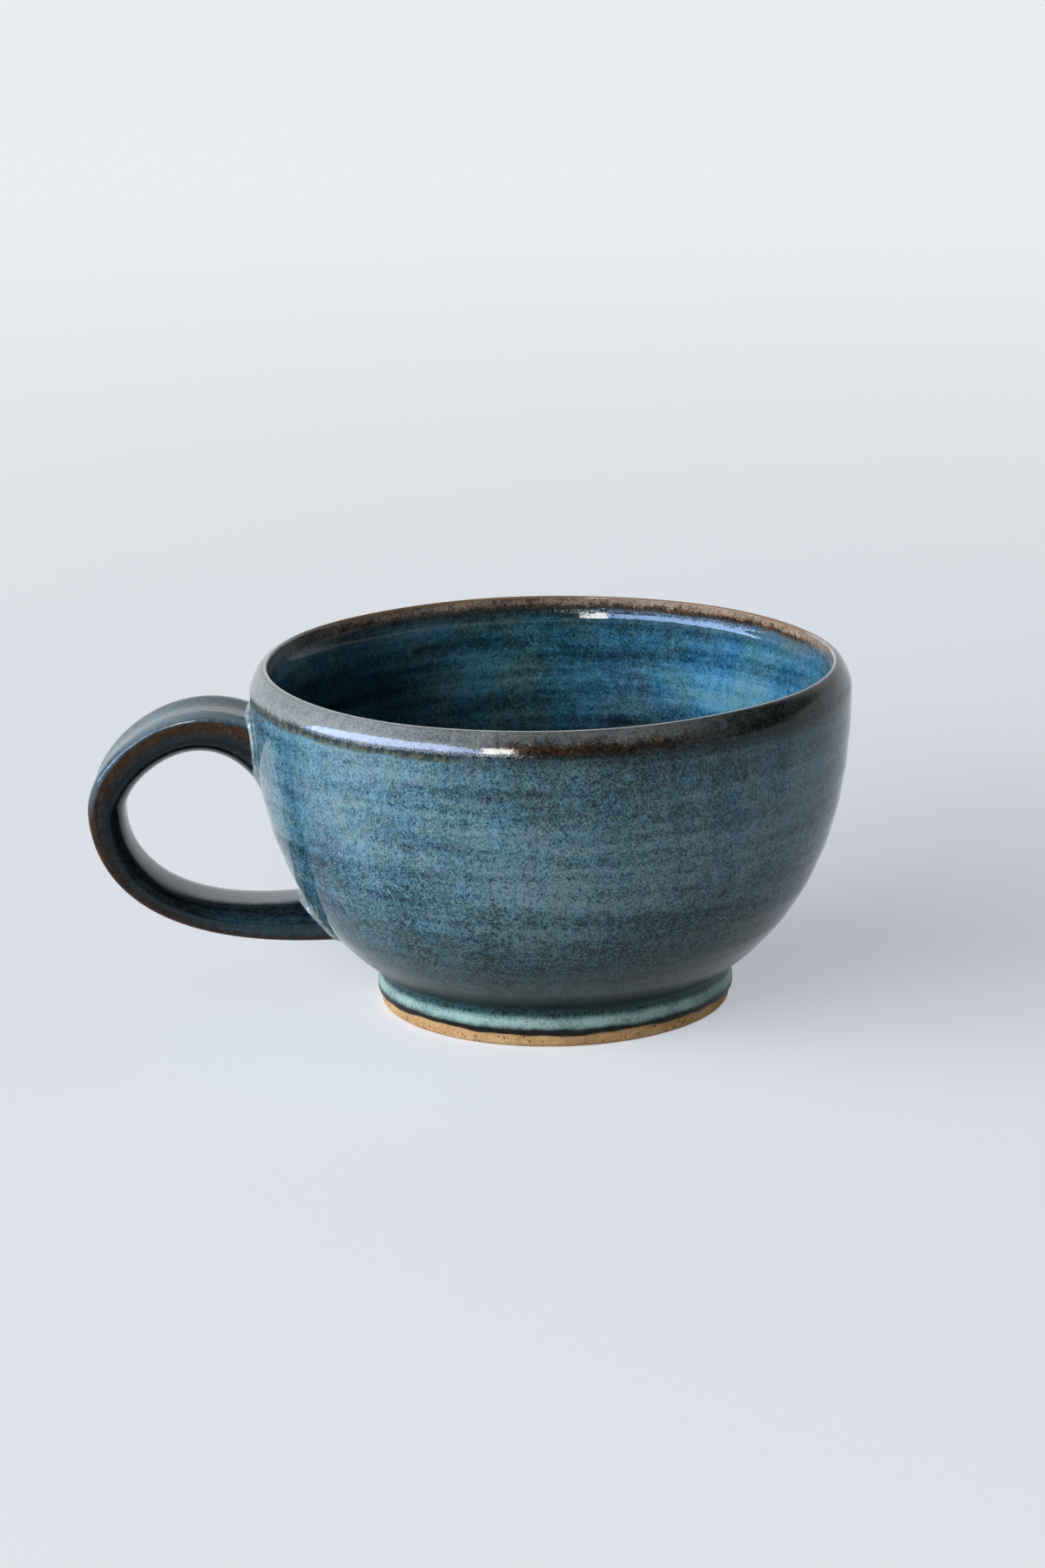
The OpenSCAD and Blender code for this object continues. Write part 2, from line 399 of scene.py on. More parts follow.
def speckled(finish, look):
    here, (x, y, z) = finish.place()
    level = finish.add("ShaderNodeVectorMath", {"operation": "NORMALIZE"}, {0: finish.join(x, y, 0)})
    dx, dy = (finish.add("ShaderNodeSeparateXYZ", {}, {0: level}, i) for i in range(2))
    turn = finish.math("ARCTAN2", x, 0 - y) * (180 / math.pi)  # degrees round the cup from its front
    part = {"here": here, "x": x, "y": y, "z": z, "dx": dx, "dy": dy, "turn": turn}
    grain = finish.noise(here, look["grain"], 2, 0.6)
    blotch = finish.noise(here, look["blotch"], 3, 0.6)
    cloud = finish.noise(finish.join(x, y, z * speckle["cloudFlat"]), look["cloud"], 3) - 0.5
    ring = uneven(finish, part, speckle["ringWander"], look["ring"], 2, 0.55)
    run = uneven(finish, part, look["runs"], speckle["runLength"])
    fine = look["grainPull"] * (grain - 0.5) + look["blotchPull"] * (blotch - 0.5)
    tone = look["middle"] + fine * (1 + look["lowGain"] * (1 - finish.ease(z, *speckle["lowHeight"])))
    tone = tone + look["cloudPull"] * cloud + look["ringPull"] * ring + look["runPull"] * run
    speck = finish.noise(here, look["speck"], 0)
    dark = finish.ease(speck, look["speckFrom"], look["speckFrom"] + speckle["speckSoft"])
    return {**part, "grain": grain, "blotch": blotch, "tone": tone - look["speckPull"] * dark}


def floatingColour(finish, part, look):
    # the blue drifts to teal and olive, and to a lavender grey
    turned = finish.join(part["z"], part["x"], part["y"])
    patch = finish.noise(part["here"], look["patch"], 6, look["patchRough"])
    patch = patch + look["tealDrift"] * finish.ease(part["turn"], *speckle["tealTurn"])
    innerSheen = finish.noise(turned, look["patch"] * speckle["greyPatch"], 6, look["patchRough"])
    blue, teal, grey = (finish.ramp(part["tone"], look[key]) for key in ("blues", "teals", "greys"))
    colour = finish.blend(finish.ease(patch, *speckle["tealFrom"]) * look["tealShare"], blue, teal)
    return finish.blend(finish.ease(innerSheen, *speckle["greyFrom"]) * look["greyShare"], colour, grey)


def dimpled(finish, here, grain):
    return finish.noise(here, shine["dimple"], 2) * shine["dimpleDepth"] + grain * shine["grainDepth"]


def glazed(finish, part, colour, line):
    step = finish.ease(part["lip"], line + shine["stepFrom"], line + shine["stepTo"])
    return {
        "Base Color": colour,
        "Roughness": shine["rough"] + shine["roughPull"] * part["blotch"],
        "height": dimpled(finish, part["here"], part["grain"]) - shine["lipStep"] * step,
    }


# Lip glaze: thin and burnt brown, grey and black round the rim; the grey is partly a painted sheen, the black
# on the front right is painted shade, and a painted highlight lies on the front crest
lipLook = {
    # slate: grey glaze with a painted sheen of the pale room on it
    "slate": [(0.1, (0.115, 0.132, 0.142)), (0.9, (0.325, 0.355, 0.368))],
    "bark": [(0.1, (0.06, 0.042, 0.032)), (0.5, (0.25, 0.18, 0.135)), (0.9, (0.43, 0.32, 0.24))],
    "umber": [(0.1, (0.008, 0.006, 0.005)), (0.5, (0.04, 0.023, 0.013)), (0.9, (0.11, 0.065, 0.033))],
    "sootAndShade": [(0.1, (0.003, 0.005, 0.005)), (0.5, (0.014, 0.02, 0.019)), (0.9, (0.055, 0.076, 0.073))],
    "olive": (0.105, 0.11, 0.05), "black": (0.008, 0.012, 0.011),
    # pale: a painted highlight on the front crest; amber: thin glaze on the back crest
    "amber": (0.27, 0.17, 0.095), "pale": (0.8, 0.81, 0.8),
    # where round the rim, in degrees from the front: from, to and softness; the dark stretch on the front
    # right is painted shade
    "notBack": (-115, 100, 18), "front": (-12, 26, 12), "dark": (24, 78, 16), "left": (-85, -16, 8),
    # how far each change lies over the line where the thick glaze ends
    "fadeOver": (1, 3), "sootOver": (-4.5, 0), "brokenOver": (-2, -1.2), "coatOver": (-0.5, 0.5),
    "fade": 0.55, "sootShare": 0.7, "brokenShare": 0.85, "seam": 0.6, "seamOver": -0.4, "seamWidth": 0.6,
    "barkHeight": (63.9, 64.9), "crestHeight": (65.5, 65.7), "crestReach": (53.75, 54), "crestDrip": 0.4,
    "crestShare": 0.75, "crestBack": 0.15, "crestFleck": 0.6,
    # unevenness: drips down the wall, wandering round the rim, mottling and flecks
    "drips": (6, 30), "dripPull": 1.6, "blotchPull": 1.6, "grainPull": 1.2, "wander": 9, "wanderPull": 45,
    "mottle": 0.9, "mottlePull": 1.3, "fleck": 1.2, "fleckFrom": (0.5, 0.68), "fleckRise": 0.08,
}


def lipColour(finish, part, colour, line):
    # round the rim the glaze breaks to slate, umber and soot, which wander into each other; the slate is
    # partly a painted sheen of the pale room, and the soot on the front right is painted shade
    look, here, tone = lipLook, part["here"], part["tone"]
    drip = uneven(finish, part, *look["drips"], 4, 0.6)
    lip = part["z"] + drip * look["dripPull"]
    lip = lip + (part["blotch"] - 0.5) * look["blotchPull"] + (part["grain"] - 0.5) * look["grainPull"]
    turn = part["turn"] + (finish.noise(here, look["wander"], 4, 0.65) - 0.5) * look["wanderPull"]

    def over(key):
        low, high = look[key]
        return finish.ease(lip, line + low, line + high)

    back = 1 - finish.within(turn, *look["notBack"])
    front, dark, left = (finish.within(turn, *look[key]) for key in ("front", "dark", "left"))
    brown = finish.math("MAXIMUM", front * (1 - look["fade"] * over("fadeOver")), back)
    mottle = tone + look["mottlePull"] * (finish.noise(here, look["mottle"], 3, 0.65) - 0.5)
    bark, umber, sootAndShade = (finish.ramp(mottle, look[key]) for key in ("bark", "umber", "sootAndShade"))
    # slate: grey glaze, partly a painted sheen
    slate = finish.ramp(tone, look["slate"])
    # soot just under the line at the front, and painted shade under it on the front right
    burnt = over("sootOver") * finish.math("MAXIMUM", brown, dark)
    colour = finish.blend(burnt * look["sootShare"], colour, sootAndShade)
    fleck = finish.noise(here, look["fleck"], 2)
    olive = finish.ease(fleck + look["fleckRise"] * (line - lip), *look["fleckFrom"])
    broken = finish.blend(olive, look["black"], look["olive"])
    colour = finish.blend(over("brokenOver") * left * look["brokenShare"], colour, broken)
    # the rim on the front right painted dark, as painted shade
    coat = finish.blend(dark, finish.blend(brown, slate, umber), sootAndShade)
    coat = finish.blend(finish.ease(lip, *look["barkHeight"]) * back, coat, bark)
    seam = finish.band(lip, line + look["seamOver"], look["seamWidth"]) * look["seam"]
    colour = finish.blend(seam * (1 - back), colour, look["black"])
    colour = finish.blend(over("coatOver"), colour, coat)
    # on the crest: a painted highlight as a pale line on the inner edge at the front, and thin amber glaze at
    # the back
    level, reach = finish.given("level") + drip * look["crestDrip"], finish.given("reach")
    edge = finish.blend(back, look["pale"], look["amber"])
    thin = finish.ease(level, *look["crestHeight"])
    thin = thin * (1 - finish.ease(reach, *look["crestReach"]) * (1 - back))
    share = look["crestShare"] + look["crestBack"] * back + look["crestFleck"] * (fleck - 0.5)
    return finish.blend(thin * share, colour, edge), lip


# Outer coat: speckled blue on the wall with painted light and shade on it, a dark groove of painted shade and
# a pale swelling over the bare foot, partly a painted highlight
wallLook = {
    "grain": 0.36, "grainPull": 1.5, "blotch": 1.3, "blotchPull": 0.75, "cloud": 24, "cloudPull": 0.6,
    "ring": 2.6, "ringPull": 0.7, "runs": 9, "runPull": 0.3, "middle": 0.57, "lowGain": 0.9,
    "patch": 6, "patchRough": 0.9, "tealDrift": 0.07, "tealShare": 0.7, "greyShare": 0.65,
    "speck": 0.55, "speckFrom": 0.62, "speckPull": 0.2, "lipLine": 62.1,
    "blues": [
        (0.1, (0.006, 0.022, 0.04)), (0.34, (0.025, 0.08, 0.127)), (0.52, (0.062, 0.178, 0.27)),
        (0.7, (0.115, 0.262, 0.375)), (0.92, (0.215, 0.38, 0.48)),
    ],
    "teals": [
        (0.1, (0.009, 0.019, 0.016)), (0.34, (0.036, 0.078, 0.072)), (0.52, (0.08, 0.162, 0.155)),
        (0.7, (0.138, 0.25, 0.25)), (0.92, (0.24, 0.36, 0.35)),
    ],
    "greys": [
        (0.1, (0.015, 0.019, 0.033)), (0.34, (0.048, 0.066, 0.102)), (0.52, (0.1, 0.145, 0.205)),
        (0.7, (0.16, 0.215, 0.295)), (0.92, (0.245, 0.315, 0.4)),
    ],
    # paler spots: how much, their middle and width in degrees round the wall, and in height
    "spots": [(0.14, (-1, 14), (20, 14)), (0.2, (4, 34), (38, 14))],
    # painted light and shade on the shoulders, a paler pool of light on the lit left and darker shade on the
    # front right: how much, middle and width in degrees, and the heights they come in between
    "shoulderLightAndShade": [(0.16, (-44, 34), (36, 52)), (-0.14, (10, 34), (46, 57))],
    # run: a darker, bluer band at the left of the wall, painted shade where neither the light nor its
    # reflection falls; low: painted shade, darker towards the bottom where the wall turns down from the light
    "run": (0.6, 0.83, 0.92), "shadeBandTurn": (-56, 8), "low": (0.17, 0.3, 0.27), "lowHeight": (9, 39),
    # groove: painted shade in the crease at the neck; band: a pale swelling of thin glaze, with a painted
    # highlight where it faces up
    "grooveShade": (0.007, 0.012, 0.012), "grooveHeight": (7.6, 11, 1.8), "grooveShare": 0.94, "grooveWave": 0.8,
    "band": (0.34, 0.5, 0.48), "bandHeight": (3.9, 5.6, 0.7),
    "bandShare": 0.85, "bandTone": 0.6, "bandWave": 0.6,
    "edge": (0.006, 0.004, 0.003), "edgeHeight": (3.3, 3.9), "edgeWave": 1.3,
    "waves": (7, 6), "pools": (5, 20), "poolPull": 1.6, "dull": 0.3, "dullHeight": (8, 18),
}
# steps of the coat's rounded lower edge from the glaze line, and how much of the neck's corner is rounded
coatShape = {
    "edge": [(-0.55, 0.05), (-0.4, 0), (-0.15, 0.02), (-0.02, 0.18)],
    "edgeRise": 0.4, "neckBelow": 2, "neckBeside": 3,
}


def wallColour(finish):
    look = wallLook
    part = speckled(finish, look)
    z, turn = part["z"], part["turn"]
    for pull, side, height in look["spots"]:
        part["tone"] = part["tone"] + pull * finish.band(turn, *side) * finish.band(z, *height)
    # painted light and shade: paler where the light falls on the left shoulder, darker on the shaded front
    # right
    for pull, side, height in look["shoulderLightAndShade"]:
        part["tone"] = part["tone"] + pull * finish.band(turn, *side) * finish.ease(z, *height)
    colour = floatingColour(finish, part, look)
    # painted shade: a darker band at the left of the wall
    colour = finish.blend(finish.band(turn, *look["shadeBandTurn"]), colour, finish.multiply(colour, look["run"]))
    # painted shade: darker towards the bottom of the wall
    tint = finish.ramp(finish.ease(z, *look["lowHeight"]), [(0, look["low"]), (1, (1, 1, 1))])
    colour = finish.multiply(colour, tint)
    # foot: painted shade in the groove at the neck, a pale swelling under it of thin glaze with a painted
    # highlight where it faces up, burnt line at the lower edge
    wave = uneven(finish, part, *look["waves"], 4, 0.6)
    # painted shade in the groove at the neck
    grooveShade = finish.within(z + wave * look["grooveWave"], *look["grooveHeight"])
    colour = finish.blend(grooveShade * look["grooveShare"], colour, look["grooveShade"])
    share = look["bandShare"] + look["bandTone"] * (part["tone"] - 0.5)
    share = share + look["poolPull"] * uneven(finish, part, *look["pools"])
    # pale swelling: thin glaze with a painted highlight where it faces up
    band = finish.within(z + wave * look["bandWave"], *look["bandHeight"])
    colour = finish.blend(band * share, colour, look["band"])
    burnt = 1 - finish.ease(z + wave * look["edgeWave"], *look["edgeHeight"])
    colour = finish.blend(burnt, colour, look["edge"])
    colour, part["lip"] = lipColour(finish, part, colour, look["lipLine"])
    return part, colour


def paintWall(finish):
    part, colour = wallColour(finish)
    surface = glazed(finish, part, colour, wallLook["lipLine"])
    dull = 1 - finish.ease(part["z"], *wallLook["dullHeight"])
    return {**surface, "Roughness": surface["Roughness"] + wallLook["dull"] * dull}


def outerShell():
    edge = glazeEdge + np.array(coatShape["edge"])
    height, low, high = bandLine[:, 1], glazeEdge[1] + coatShape["edgeRise"], neck[1] - coatShape["neckBelow"]
    band = bandLine[(height > low) & (height < high)]
    side = wallLine[wallLine[:, 0] > neck[0] + coatShape["neckBeside"]]
    corner = bend(band[-1], neck, neck, side[0], 12)[1:-1]
    return np.vstack([edge, band[::2], corner, side, lipOutLine])


def makeOuterGlaze():
    back = np.vstack([bandLine[2::6], wallLine[1:-1:4], thinned(lipOutLine, 3)])
    back = sunk(back, cup["glaze"])[::-1]
    piece = lathe("outer_glaze_coat", [(outerShell(), thrownOutside), (back, thrownOutside)])
    seat(piece, "outer_glaze", makeFinish("speckled_blue_glaze", paintWall, shine["skin"]))


# Liner: the coat poured inside, with painted light on the side across from the strap, fuller blue there, and
# painted shade on the rest and low down
linerLook = {
    "grain": 0.4, "grainPull": 0.95, "blotch": 1.6, "blotchPull": 0.6, "cloud": 22, "cloudPull": 0.95,
    "ring": 2.4, "ringPull": 0.95, "runs": 6, "runPull": 0.25, "middle": 0.44, "lowGain": 0.3,
    "patch": 9, "patchRough": 0.55, "tealDrift": 0, "tealShare": 0.5, "greyShare": 0.3,
    "speck": 0.6, "speckFrom": 0.62, "speckPull": 0.1, "lipLine": 63.5,
    "blues": [
        (0.1, (0.006, 0.03, 0.055)), (0.34, (0.02, 0.085, 0.145)), (0.52, (0.042, 0.16, 0.275)),
        (0.7, (0.075, 0.24, 0.39)), (0.92, (0.15, 0.35, 0.5)),
    ],
    "teals": wallLook["teals"], "greys": wallLook["greys"],
    # full: painted light, paler and bluer on the inside wall where the light falls; other: painted shade on
    # the rest; depth: painted shade low on the lit side, where the rim keeps the light out
    "full": (0.7, 0.88, 0.98), "litTurn": (95, 165, 30), "litPull": 0.14,
    "other": (0.9, 0.86, 0.72), "depth": 0.2, "deepShadeHeight": (38, 52),
}


def paintLiner(finish):
    look = linerLook
    part = speckled(finish, look)
    # painted light and shade on the inside wall
    full = finish.within(part["turn"], *look["litTurn"])
    pull = look["litPull"] - look["depth"] * (1 - finish.ease(part["z"], *look["deepShadeHeight"]))
    part["tone"] = part["tone"] + pull * full
    tint = finish.blend(full, look["other"], look["full"])
    colour = finish.multiply(floatingColour(finish, part, look), tint)
    colour, part["lip"] = lipColour(finish, part, colour, look["lipLine"])
    return glazed(finish, part, colour, look["lipLine"])


def makeLinerGlaze():
    shell = np.vstack([lipInLine, insideLine])
    back = sunk(np.vstack([lipInLine[:-1:4], thinned(insideLine, 5)]), cup["glaze"])[::-1]
    back[0] = [0, cup["floor"] - cup["glaze"]]
    piece = lathe("liner_glaze_coat", [(shell, thrownInside), (back, thrownInside)])
    seat(piece, "liner_glaze", makeFinish("liner_blue_glaze", paintLiner, shine["skin"]))


makeOuterGlaze()
makeLinerGlaze()
print("bowl coats thrown and glazed")


# Clay: sandy, with iron specks and small pits
clay = {
    "sand": (0.585, 0.345, 0.153), "pale": (0.74, 0.48, 0.25),
    "tan": (0.4, 0.225, 0.09), "iron": (0.05, 0.028, 0.015), "ironShare": 0.9,
    "grain": 0.5, "grainPull": 1.2, "grainDepth": 0.1, "patch": 5, "patchPull": 0.7,
    "grit": 0.9, "gritEdge": (0.16, 0.26), "gritPatch": 1.7, "gritFrom": (0.5, 0.56), "pitDepth": 0.12,
    "rough": 0.78, "roughPull": 0.15, "skin": {"Specular IOR Level": 0.3},
}


def paintClay(finish):
    here, _ = finish.place()
    sand = finish.noise(here, clay["grain"], 4, 0.7)
    patch = finish.noise(here, clay["patch"], 3)
    grit = finish.add("ShaderNodeTexVoronoi", {}, {"Vector": here, "Scale": 1 / clay["grit"]})
    gritty = finish.ease(finish.noise(here, clay["gritPatch"], 1), *clay["gritFrom"])
    speck = (1 - finish.ease(grit, *clay["gritEdge"])) * gritty
    tone = 0.5 + clay["grainPull"] * (sand - 0.5) + clay["patchPull"] * (patch - 0.5)
    colour = finish.ramp(tone, [(0.25, clay["tan"]), (0.5, clay["sand"]), (0.75, clay["pale"])])
    return {
        "Base Color": finish.blend(speck * clay["ironShare"], colour, clay["iron"]),
        "Roughness": clay["rough"] + clay["roughPull"] * sand,
        "height": sand * clay["grainDepth"] - speck * clay["pitDepth"],
    }


clayFinish = makeFinish("sandy_clay", paintClay, clay["skin"])


# Bowl: the thrown clay between the two coats, turned underneath
bowl = {
    "seat": 7.6, "base": 32.4, "under": 0.02,
    "ring": 0.1, "ringPitch": 2.3, "ringsFrom": (1, 6), "ringsTo": (22, 26),
}


def turnedBase(r, z, turn):
    ring = bowl["ring"] * np.sin(2 * math.pi * r / bowl["ringPitch"] - turn)
    return r + 0 * turn, z + ring * smooth(r, *bowl["ringsFrom"]) * (1 - smooth(r, *bowl["ringsTo"]))


def makeBowl():
    depth = cup["glaze"] + bowl["under"]
    base = np.c_[np.linspace(0, bowl["base"], 60), np.full(60, bowl["seat"])]
    outer = sunk(np.vstack([wallLine[3:-1:3], thinned(lipOutLine, 3)]), depth)
    inner = sunk(np.vstack([lipInLine[:-1:4], thinned(insideLine, 4)]), depth)
    inner[-1] = [0, cup["floor"] - depth]
    runs = [(base, turnedBase), (outer, thrownOutside), (inner[1:], thrownInside)]
    seat(lathe("thrown_bowl", runs, 240), "bowl", clayFinish)


# Foot: a turned ring with soft edges, a little chipped low down
foot = {
    "inner": 26.9, "edge": 0.6, "seatIn": 1.6, "wobble": 0.05, "chipDepth": 0.8, "chipHeight": (0.5, 2.6),
    "chips": [(9, 0, 1), (17, 1, 0.8), (37, 2, 0.6), (71, 0, 0.5)],
}


def turnedFoot(r, z, turn):
    low = 1 - smooth(z, *foot["chipHeight"])
    chip = foot["wobble"] * waves(turn, foot["chips"])
    return r - foot["chipDepth"] * low * np.abs(chip), z + 0 * turn


def makeFoot():
    r, q, e, top = cup["foot"], foot["inner"], foot["edge"], bowl["seat"]
    outerEdge = bend([r - e * 1.6, 0], [r - e * 0.5, 0], [r, e * 0.4], [r, e * 1.4], 8)
    outerWall = np.c_[np.full(5, r), np.linspace(e * 1.4, cup["bare"], 6)[1:]]
    innerWall = np.c_[np.full(8, q), np.linspace(top, e * 1.4, 8)]
    innerEdge = bend([q, e], [q, e * 0.3], [q + e * 0.4, 0], [q + e * 1.4, 0], 7)[1:]
    outer = np.vstack([outerEdge, outerWall, sunk(bandLine, cup["glaze"])[1::4]])
    inner = np.vstack([[r - foot["seatIn"], top], innerWall, innerEdge])
    piece = lathe("bare_foot", [(outer, turnedFoot), (inner, still)])
    seat(piece, "foot_ring", clayFinish)


makeBowl()
makeFoot()
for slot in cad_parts["handle"].material_slots:
    slot.material = clayFinish
print("bowl and foot turned")


# Strap handle: a pulled strap from the shoulder of the wall round to the belly
strap = {
    "upper": 46, "lower": 15.6, "reach": 28.7, "outerHeight": 38.8, "sunk": 7.5,
    "rise": 129, "risePull": 25.5, "crownPull": 10.3, "fallPull": 9.2, "tailPull": 43.8, "tailRise": 3.6,
    "width": 16.8, "crown": 8.9, "tail": 5.1, "rootSpread": 2.7, "tailSpread": 4.2, "spreadRun": 0.26,
    "channel": 0.8, "channelWidth": 0.9, "outShare": 0.4, "outSquare": 4.4, "inSquare": 2.4,
    "glaze": 0.6, "intoWall": 1.3, "rootRun": 0.24, "upperBead": 1.5, "lowerBead": 2.3,
}
rise = math.radians(strap["rise"])
rootStart = np.array([-sideRadius(strap["upper"]) + strap["sunk"], strap["upper"]])
outermost = np.array([-cup["rim"] - strap["reach"], strap["outerHeight"]])
rootEnd = np.array([-sideRadius(strap["lower"]) + strap["sunk"], strap["lower"]])
upperRun = [
    rootStart,
    rootStart + strap["risePull"] * np.array([math.cos(rise), math.sin(rise)]),
    outermost + [0, strap["crownPull"]],
    outermost,
]
lowerRun = [
    outermost,
    outermost - [0, strap["fallPull"]],
    rootEnd - [strap["tailPull"], strap["tailRise"]],
    rootEnd,
]


def alongRun(run, t):
    # the place on the run, and the way ahead there
    a, b, c, d = run
    t = t[..., None]
    ahead = (b - a) * (1 - t) ** 2 + 2 * (c - b) * t * (1 - t) + (d - c) * t ** 2
    return onBend(a, b, c, d, t), unit(ahead)


def strapLine(u):
    # the strap's middle line, and the way out of it
    first, firstAhead = alongRun(upperRun, np.clip(2 * u, 0, 1))
    second, secondAhead = alongRun(lowerRun, np.clip(2 * u - 1, 0, 1))
    early = (u < 0.5)[..., None]
    here, ahead = np.where(early, first, second), np.where(early, firstAhead, secondAhead)
    return here, np.stack([ahead[..., 1], -ahead[..., 0]], axis=-1)


def strapShares(a):
    # how far across the strap and how far out of it the angle lies, as shares of the half width and the depth
    power = 2 / np.where(np.sin(a) > 0, strap["outSquare"], strap["inSquare"])
    return (np.sign(wave) * np.abs(wave) ** power for wave in (np.cos(a), np.sin(a)))


def strapPoint(u, a, g):
    # the point at u along the strap and the angle a round it, moved out of its surface by g
    u, a, g = np.broadcast_arrays(np.asarray(u, float), np.asarray(a, float), np.asarray(g, float))
    here, out = strapLine(u)
    thick = strap["tail"] + (strap["crown"] - strap["tail"]) * (1 + np.cos(math.pi * u)) / 2
    nearStart = np.maximum(0, 1 - u / strap["spreadRun"]) ** 2
    nearEnd = np.maximum(0, 1 - (1 - u) / strap["spreadRun"]) ** 2
    inner = (1 - strap["outShare"]) * thick + strap["rootSpread"] * nearStart + strap["tailSpread"] * nearEnd
    across, outward = strapShares(a)
    outside = outward > 0
    dip = strap["channel"] * np.cos(math.pi / 2 * np.minimum(1, np.abs(across) / strap["channelWidth"])) ** 2
    h = (np.where(outside, strap["outShare"] * thick, inner) + g) * outward - np.where(outside, dip, 0)
    x, z = here[..., 0] + h * out[..., 0], here[..., 1] + h * out[..., 1]
    return np.stack([x, (strap["width"] / 2 + g) * across, z], axis=-1)


def wallGap(p):
    x, y, z = p[..., 0], p[..., 1], p[..., 2]
    return np.hypot(x, y) - thrownOutside(sideRadius(z), z, np.arctan2(y, x))[0]


def meetWall(a, g, gap, end):
    # how far along the strap its surface, moved out by g, stands the gap off the wall
    a, g, gap = np.broadcast_arrays(np.asarray(a, float), np.asarray(g, float), np.asarray(gap, float))
    start, stop = (0.0, strap["rootRun"]) if end == "upper" else (1.0, 1 - strap["rootRun"])
    low, high = np.full(a.shape, start), np.full(a.shape, stop)
    for _ in range(40):
        middle = (low + high) / 2
        buried = wallGap(strapPoint(middle, a, g)) < gap
        low, high = np.where(buried, middle, low), np.where(buried, high, middle)
    return (low + high) / 2


# Strap glaze: blue-black on the sides, grey outside, the grey partly a painted reflection of the pale room,
# brown along the edges
strapLook = {
    "ink": (0.003, 0.004, 0.005), "night": (0.009, 0.011, 0.013), "slate": (0.02, 0.042, 0.046),
    "teal": (0.01, 0.06, 0.095), "dusk": (0.05, 0.08, 0.1), "mist": (0.14, 0.215, 0.265),
    "umber": (0.066, 0.027, 0.009), "amber": (0.24, 0.12, 0.03), "rust": (0.012, 0.005, 0.002),
    # the two pale greys below are painted reflections of the pale room, on the outer ridge and on the inside
    # of the lower half
    "ridgeSheen": (0.27, 0.32, 0.35), "innerSheen": (0.42, 0.45, 0.47),
    "tealShare": 0.9, "amberShare": 0.7, "amberLow": 0.05, "brownLow": 0.25,
    "ridgeShare": 0.6, "hazeShare": 0.8, "ribShare": 0.6, "ribFade": 0.5, "ribStreak": 0.4,
    "grain": 0.55, "grainPull": 1.5, "blotch": 1.5, "blotchPull": 0.8, "streaks": (7, 6), "streakPull": 1.1,
    "wander": 3, "wanderPull": 0.5, "fleck": 0.6, "fleckFrom": (0.52, 0.68),
    "upperWander": 0.1, "edgeWander": 0.15, "brownWander": 0.3, "insideWander": 0.12,
    # along the strap, 0 at its upper end and 1 at its lower end
    "amberTo": (0.05, 0.16), "ridgeTo": (0.2, 0.34), "upperTo": (0.34, 0.5),
    "hazeFrom": (0.42, 0.56), "tealAlong": (0.87, 1, 0.04), "ribGap": (0.3, 0.75, 0.1),
    # through the strap, -1 on its inside and 1 on its outside
    "insideTo": (-0.97, -0.86), "ribOut": (-0.12, 0.3), "tealOut": (-0.1, 0.85),
    "brownOut": (-0.05, 0.5, 0.22), "faceOut": (0.1, 0.4), "edgeOut": (0.42, 0.64), "edgeDrop": 0.14,
    "ridgeOut": (0.85, 0.3),
    # across the strap, 0 on its middle line and 1 at its sides
    "faceTo": (0.7, 0.78), "ridgeFrom": (0.6, 0.8),
    "rough": 0.06, "roughPull": 0.1, "skin": {"IOR": 1.5, "Specular IOR Level": 0.22},
}


